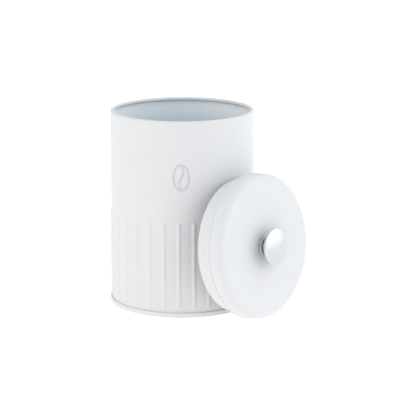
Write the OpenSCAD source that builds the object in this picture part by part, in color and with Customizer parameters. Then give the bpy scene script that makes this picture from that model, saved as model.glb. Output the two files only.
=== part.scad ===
// White ribbed coffee tin: a rolled sheet-steel body, a seamed base, and a push-in lid with a
// turned metal knob. The lid is off and leans against the side of the tin.
// Millimetres, +Z up, origin at the centre of the base on the table, the printed mark facing -Y.

/* [Body] */
// Outside diameter of the rolled body
body_d = 110; // [90:1:130]
// Height from the table to the top of the rolled rim
body_h = 150.5; // [130:0.5:200]
// Thickness of the coated steel sheet, everywhere on the tin
sheet = 0.4; // [0.3:0.05:0.5]
// Outside diameter of the curl round the mouth
curl_d = 3; // [2.4:0.1:4]
// Angle that the curl turns through before its edge
curl_turn = 300; // [240:5:310]

/* [Ribs] */
// Angle from one rib to the next
rib_pitch = 12; // [10:1:15]
// Angle of the front rib from the front of the tin
rib_start = -2; // [-6:0.5:6]
// Number of ribs, which leaves the plain panel that the side seam runs in
rib_count = 29; // [1:1:29]
// Width of a rib where it leaves the wall
rib_w = 4.5; // [3:0.1:5.5]
// How far a rib stands out of the wall
rib_h = 0.7; // [0.5:0.05:1]
// Height of the foot of the ribs above the table
rib_low = 5.5; // [5:0.5:10]
// Height of the top of the ribs
rib_high = 74; // [50:1:110]
// Length over which a rib sinks back into the wall at each end
rib_fade = 3; // [2:0.5:6]

/* [Side seam] */
// Width of the welded overlap, which stands inside the body
lap_w = 1.2; // [0.8:0.1:4]

/* [Base] */
// Height of the double seam that joins the base to the body
seam_h = 3.6; // [3.2:0.1:4.5]
// Height of the base panel's underside above the table
panel_z = 3; // [2:0.1:3.2]
// Diameter of the raised middle of the base panel
panel_step_d = 90; // [60:1:98]
// Rise of that raised middle
panel_step = 0.8; // [0.4:0.1:1]

/* [Printed mark] */
// Height of the coffee bean outline
bean_h = 21; // [12:0.5:30]
// Width of the coffee bean outline
bean_w = 13; // [8:0.5:18]
// Width of the printed line
bean_line = 1.6; // [1:0.1:2.5]
// Height of the mark's centre above the table
bean_z = 108; // [95:1:125]
// Thickness of the ink
ink = 0.06; // [0.04:0.01:0.1]

/* [Lid] */
// Outside diameter of the lid
lid_d = 109.6; // [105:0.1:112]
// Height of the lid's straight side
lid_side = 7.5; // [5:0.1:12]
// Height of the hemmed bead round the lid's edge
bead_h = 2.4; // [1.6:0.1:3]
// How far the bead stands out of the side
bead_out = 0.3; // [0.2:0.05:0.4]
// Radius of the shoulder between the side and the face
shoulder_r = 5.4; // [3:0.1:8]
// Outside diameter of the plug that drops into the mouth
plug_d = 101.4; // [100:0.1:101.6]
// Depth of the plug below the lid's rim
plug_depth = 11.4; // [8:0.1:15]
// Height of the folded hem on the plug's free edge
plug_hem = 3; // [2:0.5:5]
// Outside diameter of the silicone seal round the plug
seal_d = 106; // [103:0.1:107]
// Thickness of the seal
seal_t = 1.2; // [0.8:0.1:2]

/* [Knob] */
// Diameter of the knob at its widest
knob_d = 28.2; // [20:0.2:36]
// Height of that widest circle above the lid's face
knob_h = 9.2; // [8.5:0.1:12]
// Radius of the knob's rounded edge
knob_edge = 0.9; // [0.6:0.1:1.2]
// Rise of the domed top above the rounded edge
knob_dome = 2.4; // [1:0.1:4]
// Diameter of the knob's waist
waist_d = 11; // [10:0.5:14]
// Diameter of the collar under the knob
collar_d = 19; // [17:0.5:24]
// Height of the collar
collar_h = 2.2; // [1.6:0.1:3]

/* [Screw] */
// Outside diameter of the knob's M4 screw thread, drawn plain
screw_d = 3.8; // [3.8]
// Diameter of the tapped hole in the knob, drawn plain
tapped_d = 4; // [4]
// Clearance hole through the lid, the collar and the washer
clear_d = 4.4; // [4.4:0.1:4.8]
// Length of the screw under its head
screw_l = 10; // [8:1:12]
// Diameter of the pan head
head_d = 7.6; // [7:0.1:8]
// Height of the pan head
head_h = 2.6; // [2:0.1:3]
// Diameter of the washer
washer_d = 11; // [9:0.5:14]
// Thickness of the washer
washer_t = 0.8; // [0.5:0.1:1]

/* [Leaning lid] */
// Turn of the lid's face from the front towards the right
lean_turn = 51; // [40:1:60]
// Tilt of the lid back from upright
lean_tilt = 6; // [5:0.5:8]
// Distance from the tin's axis to the lid's rim plane, along the way that the lid faces
lean_out = 71.9; // [71.9:0.1:76]
// Shift of the lid's centre sideways along that rim plane
lean_side = -4; // [-6:0.5:0]

/* [Hidden] */
$fn = 144;

// steps in a drawn arc
arc_n = 6;
// clearance between pieces that slip together
slip = 0.05;
// overshoot of a cutter past the face that it opens
over = 1;

body_r = body_d / 2;
bore_r = body_r - sheet;
curl_r = curl_d / 2;
// radii of the four layers outside the wall in the double seam
hook_r = body_r + sheet;
fold_r = body_r + 2 * sheet;
seam_r = body_r + 3 * sheet;
// how far each hook stops short of the fold it reaches into
hook_gap = 0.4;
seam_round = 0.5;
// horizontal run of the base panel's step
step_run = 1.2;

// each rib is a slim rod standing in the wall, so that its face is a shallow arc
rib_r = (rib_w * rib_w / 4 + rib_h * rib_h) / (2 * rib_h);
rib_axis = body_r + rib_h - rib_r;
// depth at which a rib's end is hidden in the sheet
rib_sunk = 0.75 * sheet;
rib_run = rib_fade * (rib_h + rib_sunk) / rib_h;
// the side seam sits where the missing rib would be, at the back
lap_angle = rib_start + 180;
lap_low = panel_z + 2;
lap_high = body_h - curl_d - 1;

lid_r = lid_d / 2;
plug_r = plug_d / 2;
seal_r = seal_d / 2;
// radius of the lid's side above the bead
side_r = lid_r - bead_out;
face_z = lid_side + shoulder_r;
rim_round = 1;
clear_r = clear_d / 2;
knob_r = knob_d / 2;
collar_r = collar_d / 2;
waist_r = waist_d / 2;
neck_r = waist_r + 1;
// heights above the lid's rim plane
knob_z = face_z + collar_h;
washer_z = face_z - sheet - washer_t;
tapped_depth = 7;

coat_white = [0.94, 0.95, 0.96];
ink_grey = [0.72, 0.73, 0.74];
silicone = [0.9, 0.9, 0.89];
polished = [0.82, 0.83, 0.85];
zinc = [0.6, 0.61, 0.63];

// points of an arc about [x, y], from angle a to angle b
function arc(x, y, r, a, b, n = arc_n) =
    [for (i = [0:n]) let (t = a + (b - a) * i / n) [x + r * cos(t), y + r * sin(t)]];

// points of an ellipse with half-axes a and b
function oval(a, b, n = 64) = [for (i = [0:n - 1]) [a * cos(360 * i / n), b * sin(360 * i / n)]];

// turns about the tin's axis by an angle from the front
module from_front(angle) {
    rotate([0, 0, angle - 90]) children();
}

// one rib's rod, slimmer by skin on its whole surface and fading into the wall at both ends
module rib_rod(skin) {
    r = rib_r - skin;
    end_r = r - rib_h - rib_sunk;
    translate([rib_axis, 0, 0])
        rotate_extrude()
            polygon([
                [0, rib_low - rib_run + rib_fade],
                [end_r, rib_low - rib_run + rib_fade],
                [r, rib_low + rib_fade],
                [r, rib_high - rib_fade],
                [end_r, rib_high + rib_run - rib_fade],
                [0, rib_high + rib_run - rib_fade]
            ]);
}

// every rib, spread each way from the front
module rib_rods(skin) {
    for (i = [0:rib_count - 1])
        from_front(rib_start + (i - floor(rib_count / 2)) * rib_pitch) rib_rod(skin);
}

// the rolled wall in section: seam hook at the foot, straight side, curl round the mouth
module wall() {
    rotate_extrude()
        polygon(concat(
            [
                [bore_r, sheet], [fold_r, sheet], [fold_r, seam_h - sheet - hook_gap],
                [hook_r, seam_h - sheet - hook_gap], [hook_r, 2 * sheet], [body_r, 2 * sheet]
            ],
            arc(body_r - curl_r, body_h - curl_r, curl_r, 0, curl_turn, 4 * arc_n),
            arc(body_r - curl_r, body_h - curl_r, curl_r - sheet, curl_turn, 0, 4 * arc_n)
        ));
}

// the welded overlap of the sheet, a flat strip inside the wall
module lap_strip() {
    from_front(lap_angle)
        translate([bore_r - sheet, -lap_w / 2, lap_low])
            cube([1.5 * sheet, lap_w, lap_high - lap_low]);
}

module body_shell() {
    color(coat_white)
        difference() {
            union() {
                wall();
                lap_strip();
                difference() {
                    rib_rods(0);
                    cylinder(r = body_r - sheet / 2, h = body_h);
                }
            }
            rib_rods(sheet);
        }
}

module base_end() {
    color(coat_white)
        rotate_extrude()
            polygon(concat(
                [
                    [0, panel_z + sheet + panel_step],
                    [panel_step_d / 2, panel_z + sheet + panel_step],
                    [panel_step_d / 2 + step_run, panel_z + sheet],
                    [bore_r, panel_z + sheet], [bore_r, sheet],
                    [fold_r, sheet], [fold_r, seam_h - sheet],
                    [hook_r, seam_h - sheet], [hook_r, 2 * sheet + hook_gap],
                    [body_r, 2 * sheet + hook_gap], [body_r, seam_h]
                ],
                arc(seam_r - seam_round, seam_h - seam_round, seam_round, 90, 0),
                arc(seam_r - seam_round, seam_round, seam_round, 0, -90),
                [
                    [bore_r - sheet, 0], [bore_r - sheet, panel_z],
                    [panel_step_d / 2 + step_run, panel_z],
                    [panel_step_d / 2, panel_z + panel_step], [0, panel_z + panel_step]
                ]
            ));
}

// flat drawing of a coffee bean: an oval line with a wavy crease down it
module bean() {
    a = bean_w / 2;
    b = bean_h / 2;
    crease_n = 24;
    wave = bean_w / 9;
    crease = [for (i = [0:crease_n])
        let (t = 2 * i / crease_n - 1)
            [wave * sin(180 * t), t * (b - bean_line / 2)]];
    difference() {
        polygon(oval(a, b));
        difference() {
            polygon(oval(a - bean_line, b - bean_line));
            polygon(concat(
                [for (p = crease) [p.x - bean_line / 2, p.y]],
                [for (i = [crease_n:-1:0]) [crease[i].x + bean_line / 2, crease[i].y]]
            ));
        }
    }
}

module printed_mark() {
    color(ink_grey)
        intersection() {
            translate([0, 0, bean_z])
                rotate([90, 0, 0])
                    linear_extrude(height = body_d) bean();
            translate([0, 0, bean_z - bean_h])
                difference() {
                    cylinder(r = body_r + ink, h = 2 * bean_h);
                    translate([0, 0, -over]) cylinder(r = body_r, h = 2 * bean_h + 2 * over);
                }
        }
}

// stands the lid's pieces against the side of the tin; they are drawn with the rim plane at z = 0
module leaning() {
    translate([
        lean_out * sin(lean_turn) + lean_side * cos(lean_turn),
        -lean_out * cos(lean_turn) + lean_side * sin(lean_turn),
        lid_r * cos(lean_tilt)
    ])
        rotate([0, 90 - lean_tilt, lean_turn - 90])
            children();
}

module lid_shell() {
    color(coat_white)
        leaning()
            rotate_extrude()
                polygon(concat(
                    [[clear_r, face_z]],
                    arc(side_r - shoulder_r, lid_side, shoulder_r, 90, 0, 2 * arc_n),
                    arc(side_r, bead_h - bead_out, bead_out, 90, 0),
                    arc(lid_r - rim_round, rim_round, rim_round, 0, -90),
                    [[plug_r + slip, 0], [plug_r + slip, sheet], [side_r - sheet, sheet]],
                    arc(side_r - shoulder_r, lid_side, shoulder_r - sheet, 0, 90, 2 * arc_n),
                    [[clear_r, face_z - sheet]]
                ));
}

module lid_plug() {
    // the free edge is folded inwards on itself
    edge_z = sheet - plug_depth;
    color(coat_white)
        leaning()
            rotate_extrude()
                polygon(concat(
                    [
                        [plug_r - sheet, 2 * sheet], [side_r - sheet - slip, 2 * sheet],
                        [side_r - sheet - slip, sheet], [plug_r, sheet]
                    ],
                    arc(plug_r - sheet, edge_z, sheet, 0, -180),
                    [
                        [plug_r - 2 * sheet, edge_z + plug_hem],
                        [plug_r - sheet, edge_z + plug_hem]
                    ]
                ));
}

module seal_ring() {
    lip = seal_t / 2;
    color(silicone)
        leaning()
            rotate_extrude()
                polygon(concat(
                    [[plug_r + slip, 0], [plug_r + slip, -seal_t]],
                    arc(seal_r - lip, -lip, lip, -90, 90)
                ));
}

module knob_collar() {
    groove = 0.4;
    color(polished)
        leaning()
            translate([0, 0, face_z])
                rotate_extrude()
                    polygon(concat(
                        [[clear_r, 0], [collar_r, 0], [collar_r, collar_h / 3]],
                        [[collar_r - groove, collar_h / 2]],
                        arc(collar_r - groove - collar_h / 2, collar_h / 2, collar_h / 2, 0, 90),
                        [[clear_r, collar_h]]
                    ));
}

module knob() {
    // the underside flares from the waist to the rounded edge as a quarter ellipse
    waist_z = 2.3;
    edge_z = knob_h - collar_h;
    flare_w = knob_r - knob_edge - waist_r;
    flare_h = edge_z - knob_edge - waist_z;
    // the domed top is part of a sphere through the edge of the rounding
    dome_edge = knob_r - knob_edge;
    dome_r = (dome_edge * dome_edge + knob_dome * knob_dome) / (2 * knob_dome);
    dome_z = edge_z + knob_edge + knob_dome - dome_r;
    dome_n = 10;
    color(polished)
        leaning()
            translate([0, 0, knob_z])
                rotate_extrude()
                    polygon(concat(
                        [[tapped_d / 2, 0], [neck_r, 0]],
                        [for (i = [0:2 * arc_n])
                            let (t = 90 * i / (2 * arc_n))
                                [waist_r + flare_w * (1 - cos(t)), waist_z + flare_h * sin(t)]],
                        arc(dome_edge, edge_z, knob_edge, -75, 75),
                        [for (i = [1:dome_n])
                            let (x = dome_edge * (1 - i / dome_n))
                                [x, dome_z + sqrt(dome_r * dome_r - x * x)]],
                        [[0, tapped_depth], [tapped_d / 2, tapped_depth]]
                    ));
}

module knob_screw() {
    head_round = 0.8;
    slot_w = 1;
    slot_l = 4.4;
    slot_depth = 1.3;
    color(zinc)
        leaning()
            translate([0, 0, washer_z])
                difference() {
                    rotate_extrude()
                        polygon(concat(
                            [[0, -head_h]],
                            arc(head_d / 2 - head_round, head_round - head_h, head_round, -90, 0),
                            [[head_d / 2, 0], [screw_d / 2, 0], [screw_d / 2, screw_l], [0, screw_l]]
                        ));
                    for (turn = [0, 90])
                        rotate([0, 0, turn])
                            translate([-slot_l / 2, -slot_w / 2, -head_h - over])
                                cube([slot_l, slot_w, slot_depth + over]);
                }
}

module screw_washer() {
    color(zinc)
        leaning()
            translate([0, 0, washer_z])
                difference() {
                    cylinder(d = washer_d, h = washer_t);
                    translate([0, 0, -over]) cylinder(r = clear_r, h = washer_t + 2 * over);
                }
}

body_shell();
base_end();
printed_mark();
lid_shell();
lid_plug();
seal_ring();
knob_collar();
knob();
knob_screw();
screw_washer();
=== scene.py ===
# A white ribbed coffee tin with its lid leaning against it.
import math

import bmesh
import bpy
import numpy as np
from mathutils import Matrix, Vector


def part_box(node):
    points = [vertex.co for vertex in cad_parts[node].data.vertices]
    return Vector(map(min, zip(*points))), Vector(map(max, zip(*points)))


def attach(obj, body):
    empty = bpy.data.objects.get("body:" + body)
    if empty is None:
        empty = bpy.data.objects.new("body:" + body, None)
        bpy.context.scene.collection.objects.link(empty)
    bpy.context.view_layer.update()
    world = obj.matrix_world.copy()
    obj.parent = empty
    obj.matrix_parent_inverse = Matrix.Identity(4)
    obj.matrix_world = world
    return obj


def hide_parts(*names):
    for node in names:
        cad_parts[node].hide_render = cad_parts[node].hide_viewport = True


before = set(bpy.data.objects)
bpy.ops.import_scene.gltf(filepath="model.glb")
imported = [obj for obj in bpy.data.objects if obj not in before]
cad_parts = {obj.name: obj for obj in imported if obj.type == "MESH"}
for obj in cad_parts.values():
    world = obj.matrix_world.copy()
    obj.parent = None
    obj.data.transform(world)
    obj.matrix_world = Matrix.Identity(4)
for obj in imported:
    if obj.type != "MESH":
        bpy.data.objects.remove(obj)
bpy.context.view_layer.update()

# ---------------------------------------------------------------- sizes, in millimetres
MM = 0.001


def box_mm(node):
    """Lowest and highest corner of a CAD node, in millimetres."""
    low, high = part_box(node)
    return low / MM, high / MM


def middle_mm(node):
    low, high = box_mm(node)
    return (low + high) / 2


# the coated sheet that the whole tin is pressed from, and the play between slipped pieces
SHEET = 0.4
SLIP = 0.05

# the body and its base
SEAM_R = (box_mm("base_end")[1].x - box_mm("base_end")[0].x) / 2
BODY_R = SEAM_R - 3 * SHEET
BORE_R = BODY_R - SHEET
BODY_H = box_mm("body_shell")[1].z
CURL_R = 1.5
CURL_TURN = 300
SEAM_H = 3.6
PANEL_Z = 3
PANEL_STEP_R = 45
PANEL_RAISED = box_mm("base_end")[1].z - SHEET

# the ribs, counted from the front, with a plain panel at the back for the side seam
RIB_PITCH = 12
RIB_START = -2
RIB_COUNT = 29
RIB_HALF_W = 2.3
RIB_H = 0.7
RIB_LOW = 5.5
RIB_HIGH = 74
LAP_HALF_W = 0.6
LAP_RISE = 0.12
LAP_LOW = 5
LAP_HIGH = BODY_H - 2 * CURL_R - 1

# the print on the front
MARK_MIDDLE = middle_mm("printed_mark")
BEAN_H = box_mm("printed_mark")[1].z - box_mm("printed_mark")[0].z
BEAN_W = box_mm("printed_mark")[1].x - box_mm("printed_mark")[0].x
BEAN_LINE = 1.6
INK = 0.06

# the lid, drawn with its rim plane at height 0 and its axis upright
LID_R = 54.8
LID_SIDE = 7.5
BEAD_H = 2.4
BEAD_OUT = 0.3
SIDE_R = LID_R - BEAD_OUT
GROOVE = 0.2
GROOVE_TOP = BEAD_H + 0.55
RIM_ROUND = 1
SHOULDER_R = 5.4
FACE_Z = LID_SIDE + SHOULDER_R
PLUG_R = 50.7
PLUG_DEPTH = 11
PLUG_HEM = 3
SEAL_R = 53
SEAL_T = 1.2
CLEAR_R = 2.2
COLLAR_R = 9.5
COLLAR_H = 2.2
KNOB_R = 14.1
KNOB_H = 9.2
KNOB_EDGE = 0.9
KNOB_DOME = 2.4
WAIST_R = 5.5
WAIST_Z = 2.3
TAPPED_R = 2
TAPPED_DEPTH = 7
WASHER_R = 5.5
WASHER_T = 0.8
SCREW_R = 1.9
SCREW_L = 10
THREAD_PITCH = 0.7
HEAD_R = 3.8
HEAD_H = 2.6

# how the lid leans: its face turned to the right of the front, and tilted back
LEAN_TURN = 51
LEAN_TILT = 6

# the coat's two close whites and where it has rubbed; the cooler inner lacquer, painted lighter near the rim
# and darker deep down as painted light and shade
COAT = (0.692, 0.698, 0.706, 1)
COAT_CLOUD = (0.712, 0.716, 0.722, 1)
COAT_RUBBED = (0.62, 0.63, 0.64, 1)
LACQUER_PAINTED_LIGHT_RIM = (0.91, 0.94, 0.955, 1)
LACQUER_PAINTED_SHADE_DEEP = (0.66, 0.75, 0.8, 1)

# polished chrome, a finger smudge on it, and a darker chrome painted in as shade at the knob's neck and
# ferrule
CHROME = (0.63, 0.645, 0.65, 1)
CHROME_SMUDGE = (0.605, 0.62, 0.625, 1)
CHROME_PAINTED_SHADE = (0.5, 0.51, 0.515, 1)

# the lens and where it stands, in millimetres and metres, and how far it looks down, in degrees
LENS = 159.6
EYE = (0.0199, -1.3941, 0.3985)
LOOKING_DOWN = 13.17


# ---------------------------------------------------------------- meshes
def rounded(corners, steps=6, edge=0.2):
    """A closed outline from corners (r, z) or (r, z, fillet), with a point kept near each straight's ends."""
    count = len(corners)
    points = []
    for i in range(count):
        here = Vector(corners[i][:2])
        fillet = corners[i][2] if len(corners[i]) > 2 else 0
        if not fillet:
            points.append(here)
            continue
        back = (Vector(corners[i - 1][:2]) - here).normalized()
        on = (Vector(corners[(i + 1) % count][:2]) - here).normalized()
        half = back.angle(on) / 2
        centre = here + (back + on).normalized() * fillet / math.sin(half)
        first = here + back * fillet / math.tan(half) - centre
        last = here + on * fillet / math.tan(half) - centre
        for step in range(steps + 1):
            share = step / steps
            sweep = math.pi - 2 * half
            a = math.sin((1 - share) * sweep) / math.sin(sweep)
            b = math.sin(share * sweep) / math.sin(sweep)
            points.append(centre + first * a + last * b)
    outline = []
    for i, here in enumerate(points):
        after = points[(i + 1) % len(points)]
        run = after - here
        outline.append(here)
        if run.length > 4 * edge:
            outline.append(here + run.normalized() * edge)
            outline.append(after - run.normalized() * edge)
    return [tuple(p) for p in outline]


def with_heights(outline, heights):
    """The outline with a point added wherever a run crosses one of the heights."""
    result = []
    for i, here in enumerate(outline):
        after = outline[(i + 1) % len(outline)]
        result.append(here)
        low, high = sorted((here[1], after[1]))
        crossed = {h for h in heights if low < h - 0.05 and h + 0.05 < high}
        for h in sorted(crossed, reverse=after[1] < here[1]):
            share = (h - here[1]) / (after[1] - here[1])
            result.append((here[0] + (after[0] - here[0]) * share, h))
    return result


def arc(r, z, radius, start, end, steps):
    """Points of an arc about (r, z)."""
    angles = [math.radians(start + (end - start) * i / steps) for i in range(steps + 1)]
    return [(r + radius * math.cos(a), z + radius * math.sin(a)) for a in angles]


def make_piece(name, points, faces, body, replaces, finish, place=None):
    """A smooth mesh in millimetres, riding on a body in place of CAD nodes."""
    mesh = bpy.data.meshes.new(name)
    mesh.from_pydata([tuple(p) for p in np.asarray(points) * MM], [], faces)
    shape = bmesh.new()
    shape.from_mesh(mesh)
    bmesh.ops.recalc_face_normals(shape, faces=shape.faces)
    shape.to_mesh(mesh)
    shape.free()
    mesh.shade_smooth()
    mesh.materials.append(finish)
    piece = bpy.data.objects.new(name, mesh)
    bpy.context.scene.collection.objects.link(piece)
    if place is not None:
        piece.matrix_world = place
    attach(piece, body)
    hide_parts(*replaces)
    return piece


def turned(outline, angles, press=None):
    """Points and faces of a closed outline turned about the axis, where an outline point on the axis becomes
    one point. press(angle, r, z) may move the rings' points; angles are in degrees from the front."""
    points = []
    rings = []
    turn = np.radians(angles)
    for r, z in outline:
        if r < 1e-6:
            rings.append([len(points)] * len(angles))
            points.append((0, 0, z))
            continue
        ring_r = np.full(len(angles), float(r))
        ring_z = np.full(len(angles), float(z))
        if press:
            ring_r, ring_z = press(np.asarray(angles, float), ring_r, ring_z)
        rings.append(list(range(len(points), len(points) + len(angles))))
        points.extend(np.stack([ring_r * np.sin(turn), -ring_r * np.cos(turn), ring_z], axis=1))
    faces = []
    for i, ring in enumerate(rings):
        after = rings[(i + 1) % len(rings)]
        if ring[0] == ring[-1] and after[0] == after[-1]:
            continue
        for k in range(len(angles)):
            n = (k + 1) % len(angles)
            face = [ring[k], ring[n], after[n], after[k]]
            if ring[k] == ring[n]:
                face = face[1:]
            elif after[n] == after[k]:
                face = face[:3]
            faces.append(face)
    return points, faces


def even_angles(count):
    return [360 * i / count for i in range(count)]


def smooth_step(x):
    x = np.clip(x, 0, 1)
    return x * x * (3 - 2 * x)


# ---------------------------------------------------------------- materials
class Value:
    """An output in a node tree that can be used in sums like a number."""

    def __init__(self, nodes, socket):
        self.nodes = nodes
        self.socket = socket

    def math(self, operation, *terms):
        return self.nodes.node("ShaderNodeMath", {"operation": operation}, dict(enumerate(terms)))

    def __add__(self, other):
        return self.math("ADD", self, other)

    def __radd__(self, other):
        return self.math("ADD", other, self)

    def __sub__(self, other):
        return self.math("SUBTRACT", self, other)

    def __rsub__(self, other):
        return self.math("SUBTRACT", other, self)

    def __mul__(self, other):
        return self.math("MULTIPLY", self, other)

    def __rmul__(self, other):
        return self.math("MULTIPLY", other, self)

    def __pow__(self, other):
        return self.math("POWER", self, other)

    def sine(self):
        return self.math("SINE", self)

    def away_from(self, level):
        return self.math("ABSOLUTE", self - level)


class Nodes:
    """A node tree, and the ways that it is added to."""

    def __init__(self, tree):
        self.tree = tree

    def node(self, kind, settings=None, inputs=None, output=0):
        """A node of that kind: its settings first, then its sockets' values or links."""
        made = self.tree.nodes.new(kind)
        for key, value in (settings or {}).items():
            setattr(made, key, value)
        for key, value in (inputs or {}).items():
            if isinstance(value, Value):
                self.tree.links.new(value.socket, made.inputs[key])
            else:
                made.inputs[key].default_value = value
        return Value(self, made.outputs[output])

    def parts(self, vector):
        """The vector's x, y and z."""
        made = self.node("ShaderNodeSeparateXYZ", inputs={"Vector": vector}).socket.node
        return [Value(self, socket) for socket in made.outputs]

    def spread(self, value, low, high):
        """value mapped from low..high to 0..1, eased and clipped."""
        return self.node(
            "ShaderNodeMapRange",
            {"interpolation_type": "SMOOTHSTEP"},
            {"Value": value, "From Min": low, "From Max": high},
        )

    def mix(self, share, first, second):
        """A colour between two colours."""
        return self.node(
            "ShaderNodeMix", {"data_type": "RGBA"}, {"Factor": share, 6: first, 7: second}, output=2
        )


class Finish(Nodes):
    """One material, built from nodes round a Principled shader."""

    def __init__(self, name, **constants):
        self.material = bpy.data.materials.new(name)
        self.material.use_nodes = True
        super().__init__(self.material.node_tree)
        self.shader = self.tree.nodes["Principled BSDF"]
        for socket, value in constants.items():
            self.shader.inputs[socket.replace("_", " ")].default_value = value

    def place(self):
        """The point on the piece, in metres from its own origin."""
        return self.node("ShaderNodeTexCoord", output="Object")

    def grain(self, size_mm, detail=2.0, roughness=0.5, stretch=None):
        """Noise from 0 to 1 with features of about that size, or longer along z by stretch."""
        where = self.place()
        if stretch:
            where = self.node(
                "ShaderNodeVectorMath", {"operation": "MULTIPLY"}, {0: where, 1: (1, 1, 1 / stretch)}
            )
        return self.node(
            "ShaderNodeTexNoise",
            {"noise_dimensions": "3D"},
            {"Vector": where, "Scale": 1 / (size_mm * MM), "Detail": detail, "Roughness": roughness},
        )

    def feed(self, **values):
        """Links values that vary over the surface to the shader's sockets."""
        for socket, value in values.items():
            self.tree.links.new(value.socket, self.shader.inputs[socket.replace("_", " ")])

    def relief(self, height, depth_mm, strength=1.0):
        """Bump whose height of 0 to 1 stands for that depth."""
        self.feed(
            Normal=self.node(
                "ShaderNodeBump",
                inputs={"Strength": strength, "Distance": depth_mm * MM, "Height": height},
            )
        )


def white_coat(name, worn, lacquered=None):
    """Satin powder coat. worn(finish, radius, height) gives where hands and shelves rub it, and
    lacquered(finish, height) up to where the side towards the axis has a cooler inner lacquer, painted
    lighter near the rim and darker deep down as painted light and shade."""
    finish = Finish(name, Specular_IOR_Level=0.35, IOR=1.48)
    x, y, height = finish.parts(finish.place())
    radius = (x * x + y * y) ** 0.5
    peel = finish.grain(1.4, detail=2.5)
    speckle = finish.grain(0.35, detail=1)
    cloud = finish.grain(38, detail=3)
    rub = worn(finish, radius, height) * finish.spread(finish.grain(2.2, detail=4), 0.45, 0.72)
    clean = finish.mix(cloud, COAT, COAT_CLOUD)
    if lacquered:
        facing = finish.parts(finish.node("ShaderNodeTexCoord", output="Normal"))
        inside = 1 - finish.spread(facing[0] * x + facing[1] * y, -10 * MM, 10 * MM)
        # painted light and shade: the lacquer is pale near the rim and darkens deeper into the tin
        depth_shade = 1 - finish.spread(height, (BODY_H - 30) * MM, (BODY_H - 6) * MM)
        lacquer = finish.mix(depth_shade, LACQUER_PAINTED_LIGHT_RIM, LACQUER_PAINTED_SHADE_DEEP)
        clean = finish.mix(inside * lacquered(finish, height), clean, lacquer)
    finish.feed(
        Base_Color=finish.mix(rub * 0.3, clean, COAT_RUBBED),
        Roughness=0.37 + 0.07 * cloud + 0.05 * speckle + 0.12 * rub,
    )
    finish.relief(peel * 0.8 + speckle * 0.2, 0.02, 0.6)
    return finish.material


def near(finish, value, level_mm, reach_mm):
    """1 at a level and 0 further from it than reach."""
    return 1 - finish.spread(value.away_from(level_mm * MM), 0, reach_mm * MM)


def body_wear(finish, radius, height):
    return near(finish, height, BODY_H, 1.2) + near(finish, height, 0, 1.5)


def body_lacquer(finish, height):
    """The inside of the wall is lacquered up to the curl."""
    return 1 - finish.spread(height, (BODY_H - 2 * CURL_R) * MM, (BODY_H - 2 * CURL_R + 0.3) * MM)


def base_wear(finish, radius, height):
    return near(finish, height, 0, 0.8) + near(finish, height, SEAM_H, 0.5)


def lid_wear(finish, radius, height):
    corner = near(finish, radius, LID_R - 1.5, 2.5) * near(finish, height, FACE_Z - 1.5, 2.5)
    return near(finish, height, 0, 1.0) * near(finish, radius, LID_R, 1.5) + 0.4 * corner


def plug_wear(finish, radius, height):
    return near(finish, height, -PLUG_DEPTH, 2.5) * near(finish, radius, PLUG_R, 1)


def polished_metal(name, line_mm, shaded_below):
    """Bright chrome with faint turning lines round the axis and finger smudges, and darker, rougher chrome
    below a height, painted as shade for the knob's neck and ferrule."""
    finish = Finish(name, Metallic=1.0)
    x, y, height = finish.parts(finish.place())
    radius = (x * x + y * y) ** 0.5
    wobble = finish.grain(0.6, detail=1)
    lines = (radius * (2 * math.pi / (line_mm * MM)) + wobble * 3).sine() * 0.5 + 0.5
    smudge = finish.spread(finish.grain(6, detail=4, roughness=0.6), 0.45, 0.75)
    # painted shade: below this height the chrome is given a darker colour to stand in for the shade in the
    # neck
    dull = 1 - finish.spread(height, (shaded_below - 0.8) * MM, shaded_below * MM)
    bright = finish.mix(smudge, CHROME, CHROME_SMUDGE)
    finish.feed(
        Base_Color=finish.mix(dull, bright, CHROME_PAINTED_SHADE),
        Roughness=0.25 + 0.03 * smudge + 0.03 * lines + 0.06 * dull,
    )
    finish.relief(lines * 0.6 + finish.grain(0.25) * 0.4, 0.004, 0.5)
    return finish.material


def zinc_plate(name):
    """Bright zinc on a small fastener, slightly clouded."""
    finish = Finish(name, Metallic=1.0)
    cloud = finish.grain(0.9, detail=4)
    scratch = finish.grain(0.12, detail=2, stretch=6)
    finish.feed(
        Base_Color=finish.mix(cloud, (0.55, 0.57, 0.6, 1), (0.72, 0.72, 0.71, 1)),
        Roughness=0.28 + 0.2 * cloud,
    )
    finish.relief(scratch, 0.01, 0.5)
    return finish.material


def silicone(name):
    """Milky silicone rubber with a dull moulded skin and a little dust."""
    finish = Finish(name, Subsurface_Weight=0.15, Subsurface_Scale=0.002, IOR=1.41)
    dust = finish.spread(finish.grain(0.5, detail=3), 0.6, 0.75)
    cloud = finish.grain(9)
    finish.feed(
        Base_Color=finish.mix(cloud * 0.6 + dust * 0.2, (0.8, 0.8, 0.78, 1), (0.72, 0.72, 0.7, 1)),
        Roughness=0.46 + 0.14 * cloud + 0.15 * dust,
    )
    finish.relief(finish.grain(0.2), 0.01, 0.6)
    return finish.material


def screen_ink(name):
    """Grey screen print: flat, with the mesh's faint tooth and pinholes."""
    finish = Finish(name, IOR=1.45)
    tooth = finish.grain(0.3, detail=1)
    thin = finish.spread(finish.grain(0.7, detail=3), 0.62, 0.78)
    finish.feed(
        Base_Color=finish.mix(thin * 0.5, (0.58, 0.585, 0.59, 1), (0.68, 0.685, 0.69, 1)),
        Roughness=0.5 + 0.12 * tooth,
    )
    finish.relief(tooth, 0.006, 0.6)
    return finish.material


# ---------------------------------------------------------------- the tin
def rib_columns():
    """Angles that crowd round each rib, and leave the flats between them wide."""
    half = math.degrees(RIB_HALF_W / BODY_R)
    near_rib = [half * i / 8 for i in range(9)] + [half * 1.3, half * 1.85]
    offsets = sorted({-a for a in near_rib} | set(near_rib)) + [RIB_PITCH / 2]
    return [RIB_START + RIB_PITCH * k + a for k in range(360 // RIB_PITCH) for a in offsets]


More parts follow.
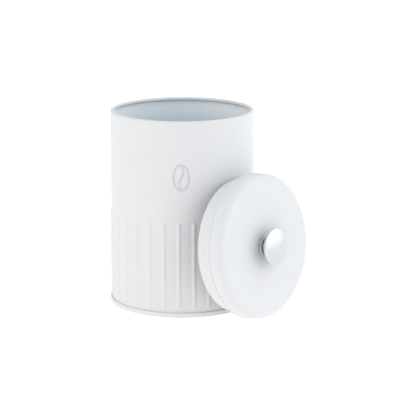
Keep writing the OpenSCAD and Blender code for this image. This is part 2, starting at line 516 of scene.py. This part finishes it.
def wall_press(angle, r, z):
    """Presses the ribs out of the wall and lays the side seam inside it."""
    turns = (angle - RIB_START + 180) % 360 - 180
    nearest = np.round(turns / RIB_PITCH)
    across = np.radians(turns - nearest * RIB_PITCH) * BODY_R
    along = np.maximum(np.maximum(RIB_LOW + RIB_HALF_W - z, z - RIB_HIGH + RIB_HALF_W), 0)
    reach = np.minimum(np.hypot(across, along) / RIB_HALF_W, 1)
    ribbed = np.abs(nearest) <= RIB_COUNT // 2
    rise = np.where(ribbed, RIB_H * (1 + np.cos(math.pi * reach)) / 2, 0)
    wall = (z > SEAM_H) & (z < BODY_H - 2 * CURL_R)
    inside = r < BODY_R - SHEET / 2
    ends = smooth_step((z - LAP_LOW) / 0.5) * smooth_step((LAP_HIGH - z) / 0.5)
    lap = np.where(ribbed, 0, smooth_step((LAP_HALF_W + 0.25 - np.abs(across)) / 0.5)) * ends
    line = np.where(ribbed, 0, 1 - np.minimum(np.abs(across - LAP_HALF_W) / 0.3, 1)) * ends
    moved = rise - np.where(inside, LAP_RISE * lap, 0.1 * line)
    return r + np.where(wall, moved, 0), z


def body_shell(finish):
    """The rolled wall: seam hook at the foot, ribs, and the curl round the mouth."""
    curl = (BODY_R - CURL_R, BODY_H - CURL_R)
    hook_top = SEAM_H - 2 * SHEET
    outline = (
        [
            (BORE_R, SHEET), (BODY_R + 2 * SHEET, SHEET), (BODY_R + 2 * SHEET, hook_top),
            (BODY_R + SHEET, hook_top), (BODY_R + SHEET, 2 * SHEET), (BODY_R, 2 * SHEET)
        ]
        + arc(*curl, CURL_R, 0, CURL_TURN, 30)
        + arc(*curl, CURL_R - SHEET, CURL_TURN, 0, 24)
    )
    fade = RIB_HALF_W + 0.1
    ends = [RIB_LOW + fade * i / 8 for i in range(9)] + [RIB_HIGH - fade * i / 8 for i in range(9)]
    middle = [RIB_LOW + (RIB_HIGH - RIB_LOW) * i / 4 for i in (1, 2, 3)]
    upper = [RIB_HIGH + 1, RIB_HIGH + 12, RIB_HIGH + 40, LAP_HIGH - 0.5, LAP_HIGH]
    lower = [SEAM_H + 0.3, LAP_LOW, LAP_LOW + 0.5]
    outline = with_heights(outline, lower + ends + middle + upper)
    points, faces = turned(outline, rib_columns(), wall_press)
    return make_piece("tin_wall", points, faces, "tin", ["body_shell"], finish)


def base_end(finish):
    """The pressed base and the double seam that it makes round the wall's foot."""
    hook_foot = 3 * SHEET
    outline = rounded([
        (0, PANEL_RAISED + SHEET), (PANEL_STEP_R, PANEL_RAISED + SHEET, 0.8),
        (PANEL_STEP_R + 1.2, PANEL_Z + SHEET, 0.8), (BORE_R, PANEL_Z + SHEET), (BORE_R, SHEET),
        (BODY_R + 2 * SHEET, SHEET), (BODY_R + 2 * SHEET, SEAM_H - SHEET),
        (BODY_R + SHEET, SEAM_H - SHEET), (BODY_R + SHEET, hook_foot), (BODY_R, hook_foot),
        (BODY_R, SEAM_H, 0.3), (SEAM_R, SEAM_H, 0.5), (SEAM_R, 0, 0.5),
        (BORE_R - SHEET, 0, 0.35), (BORE_R - SHEET, PANEL_Z, 0.3),
        (PANEL_STEP_R + 1.2, PANEL_Z, 0.5), (PANEL_STEP_R, PANEL_RAISED, 0.5), (0, PANEL_RAISED)
    ])
    points, faces = turned(outline, even_angles(288))
    return make_piece("tin_base", points, faces, "tin", ["base_end"], finish)


def inked_strip(middle, half_w, closed, layer):
    """Points and faces of a printed line that wraps the wall. middle is its centre line (x, z)."""
    count = len(middle)
    across = (-1, -0.5, 0, 0.5, 1)
    points, faces = [], []
    for i in range(count):
        before = Vector(middle[i - 1] if closed or i else middle[0])
        after = Vector(middle[(i + 1) % count] if closed or i < count - 1 else middle[-1])
        along = (after - before).normalized()
        side = Vector((along.y, -along.x)) * half_w
        for r in (BODY_R + layer, BODY_R - layer):
            for share in across:
                x, z = Vector(middle[i]) + side * share
                points.append((r * math.sin(x / BODY_R), -r * math.cos(x / BODY_R), z))
    row = 2 * len(across)
    loop = list(range(len(across))) + list(range(row - 1, len(across) - 1, -1))
    for i in range(count if closed else count - 1):
        a, b = row * i, row * ((i + 1) % count)
        for k in range(row):
            n = (k + 1) % row
            faces.append([a + loop[k], b + loop[k], b + loop[n], a + loop[n]])
    if not closed:
        faces.append(loop)
        faces.append([row * (count - 1) + k for k in reversed(loop)])
    return points, faces


def printed_mark(finish):
    """A coffee bean in outline: an oval line and a wavy crease."""
    a, b = BEAN_W / 2 - BEAN_LINE / 2, BEAN_H / 2 - BEAN_LINE / 2
    oval = []
    for i in range(120):
        t = 2 * math.pi * i / 120
        oval.append((a * math.cos(t), MARK_MIDDLE.z + b * math.sin(t)))
    crease = []
    for i in range(49):
        t = i / 24 - 1
        crease.append((BEAN_W / 9 * math.sin(math.pi * t), MARK_MIDDLE.z + t * (b - BEAN_LINE / 4)))
    points, faces = inked_strip(oval, BEAN_LINE / 2, True, INK)
    more, extra = inked_strip(crease, BEAN_LINE / 2, False, INK * 0.9)
    faces += [[k + len(points) for k in face] for face in extra]
    return make_piece("bean_print", points + more, faces, "tin", ["printed_mark"], finish)


# ---------------------------------------------------------------- the lid
def lean():
    """Where the lid's rim plane stands: the washer's middle lies on the lid's axis."""
    turn, tilt = math.radians(LEAN_TURN), math.radians(LEAN_TILT)
    spin = Matrix.Rotation(turn - math.pi / 2, 4, "Z") @ Matrix.Rotation(math.pi / 2 - tilt, 4, "Y")
    axis = (spin @ Vector((0, 0, 1, 0))).to_3d()
    on_axis = middle_mm("screw_washer") - axis * (FACE_Z - SHEET - WASHER_T / 2)
    return Matrix.Translation(on_axis * MM) @ spin


def lid_piece(name, outline, count, replaces, finish, press=None):
    points, faces = turned(outline, even_angles(count), press)
    return make_piece(name, points, faces, "lid", [replaces], finish, lean())


def lid_shell(finish):
    """The pressed lid: flat face, round shoulder, straight side, a fine groove, and the hemmed bead folded
    under."""
    outline = rounded([
        (CLEAR_R, FACE_Z), (SIDE_R, FACE_Z, SHOULDER_R), (SIDE_R, GROOVE_TOP, 0.3),
        (SIDE_R - GROOVE, BEAD_H + 0.1, 0.1), (LID_R, BEAD_H - 0.05, 0.28), (LID_R, 0, RIM_ROUND),
        (PLUG_R + SLIP, 0, 0.15),
        (PLUG_R + SLIP, SHEET), (SIDE_R - SHEET, SHEET, 0.1),
        (SIDE_R - SHEET, FACE_Z - SHEET, SHOULDER_R - SHEET), (CLEAR_R, FACE_Z - SHEET)
    ], steps=12)
    return lid_piece("lid_cover", outline, 288, "lid_shell", finish)


def lid_plug(finish):
    """The ring that drops into the mouth, its free edge folded in on itself."""
    flange_r = SIDE_R - SHEET - SLIP
    outline = rounded([
        (PLUG_R - SHEET, 2 * SHEET), (flange_r, 2 * SHEET), (flange_r, SHEET), (PLUG_R, SHEET, 0.1),
        (PLUG_R, -PLUG_DEPTH - SHEET, SHEET * 0.98), (PLUG_R - 2 * SHEET, -PLUG_DEPTH - SHEET, SHEET * 0.98),
        (PLUG_R - 2 * SHEET, PLUG_HEM - PLUG_DEPTH, 0.12), (PLUG_R - SHEET, PLUG_HEM - PLUG_DEPTH)
    ])
    return lid_piece("lid_plug_ring", outline, 288, "lid_plug", finish)


def seal_ring(finish):
    outline = rounded([
        (PLUG_R + SLIP, 0), (PLUG_R + SLIP, -SEAL_T, 0.15), (SEAL_R, -SEAL_T, 0.55), (SEAL_R, 0, 0.55)
    ])
    return lid_piece("lid_seal", outline, 240, "seal_ring", finish)


def knob_collar(finish):
    """The stepped ferrule under the knob."""
    lip = FACE_Z + COLLAR_H
    outline = rounded([
        (CLEAR_R, FACE_Z), (COLLAR_R, FACE_Z, 0.12), (COLLAR_R, FACE_Z + 0.73, 0.25),
        (COLLAR_R - 0.45, FACE_Z + 0.85, 0.1), (COLLAR_R - 0.45, lip, 1), (CLEAR_R, lip)
    ])
    return lid_piece("knob_ferrule", outline, 144, "knob_collar", finish)


def knob(finish):
    """The mushroom knob: foot, waist, flare, rounded edge and domed top, tapped from below."""
    foot = FACE_Z + COLLAR_H
    edge = FACE_Z + KNOB_H
    rim_r = KNOB_R - KNOB_EDGE
    flare_w = rim_r - WAIST_R
    flare_h = edge - KNOB_EDGE - foot - WAIST_Z
    flare = []
    for i in range(25):
        t = math.pi / 2 * i / 24
        flare.append((WAIST_R + flare_w * (1 - math.cos(t)), foot + WAIST_Z + flare_h * math.sin(t)))
    dome_r = (rim_r * rim_r + KNOB_DOME * KNOB_DOME) / (2 * KNOB_DOME)
    dome_z = edge + KNOB_EDGE + KNOB_DOME - dome_r
    dome = []
    for i in range(1, 21):
        r = rim_r * (1 - i / 20)
        dome.append((r, dome_z + math.sqrt(dome_r * dome_r - r * r)))
    outline = (
        [(TAPPED_R, foot), (WAIST_R + 0.9, foot), (WAIST_R + 1, foot + 0.1), (WAIST_R + 0.9, foot + 0.3)]
        + flare
        + arc(rim_r, edge, KNOB_EDGE, -78, 78, 14)
        + dome
        + [(0, foot + TAPPED_DEPTH + 0.6), (TAPPED_R, foot + TAPPED_DEPTH)]
    )
    return lid_piece("knob_top", outline, 180, "knob", finish)


def screw_press(angle, r, z):
    """Cuts the cross recess in the head and winds the thread round the shank."""
    seat = FACE_Z - SHEET - WASHER_T
    turn = np.radians(angle)
    x, y = np.abs(r * np.sin(turn)), np.abs(r * np.cos(turn))
    arm = smooth_step((0.62 - np.minimum(x, y)) / 0.2) * smooth_step((2.2 - np.maximum(x, y)) / 0.3)
    low = z < seat - HEAD_H + 0.01
    phase = ((z - seat) / THREAD_PITCH - angle / 360) % 1
    tooth = np.abs(2 * phase - 1)
    shank = (z > seat + 0.6) & (z < seat + SCREW_L - 0.4) & (r > SCREW_R - 0.01) & (r < SCREW_R + 0.01)
    fade = smooth_step((z - seat - 0.6) / 0.6) * smooth_step((seat + SCREW_L - 0.4 - z) / 0.6)
    return r - np.where(shank, 0.36 * (1 - tooth) * fade, 0), z + np.where(low, 1.25 * arm, 0)


def knob_screw(finish):
    """Pan-head screw that holds the knob from inside the lid."""
    seat = FACE_Z - SHEET - WASHER_T
    head = seat - HEAD_H
    tip = seat + SCREW_L
    rings = [(HEAD_R * i / 32, head) for i in range(27)]
    outline = (
        rings
        + arc(HEAD_R - 0.6, head + 0.6, 0.6, -80, 0, 8)
        + [(HEAD_R, seat - 0.15), (HEAD_R - 0.1, seat), (SCREW_R, seat)]
        + [(SCREW_R, seat + 0.1 * i) for i in range(1, 97)]
        + [(SCREW_R - 0.35, tip), (0, tip)]
    )
    return lid_piece("knob_fixing_screw", outline, 96, "knob_screw", finish, screw_press)


def screw_washer(finish):
    low = FACE_Z - SHEET - WASHER_T
    outline = rounded([
        (CLEAR_R, low, 0.08), (WASHER_R, low, 0.2), (WASHER_R, low + WASHER_T, 0.12),
        (CLEAR_R, low + WASHER_T, 0.08)
    ], edge=0.1)
    return lid_piece("knob_washer", outline, 96, "screw_washer", finish)


# ---------------------------------------------------------------- studio
def stage_piece(name, size, place, turn, finish):
    """A flat card of the studio."""
    bpy.ops.mesh.primitive_plane_add(size=1, location=place, rotation=turn)
    card = bpy.context.object
    card.name = name
    card.scale = (*size, 1)
    card.data.materials.append(finish)
    return card


def pale_floor():
    """A white sweep, lit from below so that it stays white right up to the tin's foot."""
    finish = Finish("pale_floor", Base_Color=(0.12, 0.12, 0.12, 1), Roughness=0.9, Specular_IOR_Level=0)
    finish.shader.inputs["Emission Color"].default_value = (1, 1, 1, 1)
    finish.shader.inputs["Emission Strength"].default_value = 1.1
    return stage_piece("floor", (12, 12), (0, 0, 0), (0, 0, 0), finish.material)


def towards(turn, rise):
    """The direction turned to the right of the front and raised above the table, in degrees."""
    turn, rise = math.radians(turn), math.radians(rise)
    return (math.sin(turn) * math.cos(rise), -math.cos(turn) * math.cos(rise), math.sin(rise))


def studio():
    """Even light from all round, dimmer above, behind and in front, with broad soft boxes left and right."""
    world = bpy.data.worlds.new("studio")
    world.use_nodes = True
    bpy.context.scene.world = world
    bpy.context.scene.view_settings.view_transform = "Standard"
    nodes = Nodes(world.node_tree)
    way = nodes.node("ShaderNodeTexCoord", output="Generated")
    up = nodes.parts(way)[2]
    light = nodes.mix(nodes.spread(up, 0.05, 0.9), (1.42, 1.43, 1.45, 1), (0.42, 0.55, 0.68, 1))

    def stretch(turn, rise, half_width, colour):
        """The light with a soft-edged stretch of another colour laid over it."""
        facing = nodes.node(
            "ShaderNodeVectorMath", {"operation": "DOT_PRODUCT"}, {0: way, 1: towards(turn, rise)}, "Value"
        )
        share = nodes.spread(facing, math.cos(math.radians(half_width)), 1)
        return nodes.mix(share, light, (*colour, 1))

    # the dimmer room behind the tin, soft boxes left and right, and the dim places in front and behind left
    light = stretch(180, 15, 95, (0.78, 0.79, 0.81))
    light = stretch(-60, 25, 65, (1.5, 1.48, 1.46))
    light = stretch(95, 30, 60, (1.62, 1.65, 1.68))
    light = stretch(5, 8, 50, (0.7, 0.7, 0.72))
    light = stretch(-150, 10, 60, (0.6, 0.6, 0.6))
    sky = nodes.tree.nodes["Background"]
    nodes.tree.links.new(light.socket, sky.inputs["Color"])
    pale_floor()


def camera():
    """Level with no roll, slightly right of the tin's axis and looking down on it."""
    lens = bpy.data.cameras.new("view")
    lens.sensor_width = 36
    lens.lens = LENS
    eye = bpy.data.objects.new("view", lens)
    eye.location = EYE
    eye.rotation_euler = (math.radians(90 - LOOKING_DOWN), 0, 0)
    bpy.context.scene.collection.objects.link(eye)
    bpy.context.scene.camera = eye


body_shell(white_coat("coated_wall", body_wear, body_lacquer))
base_end(white_coat("coated_base", base_wear))
printed_mark(screen_ink("grey_ink_print"))
lid_shell(white_coat("coated_lid", lid_wear))
lid_plug(white_coat("coated_plug", plug_wear))
seal_ring(silicone("milky_silicone"))
# the ferrule lies wholly below its height, so all of it gets the darker chrome as painted shade; the knob
# gets it below its rounded edge
knob_collar(polished_metal("polished_ferrule", 0.3, FACE_Z + COLLAR_H + 1))
knob(polished_metal("polished_knob", 0.35, FACE_Z + KNOB_H - 1.2))
knob_screw(zinc_plate("zinc_screw"))
screw_washer(zinc_plate("zinc_washer"))
studio()
camera()
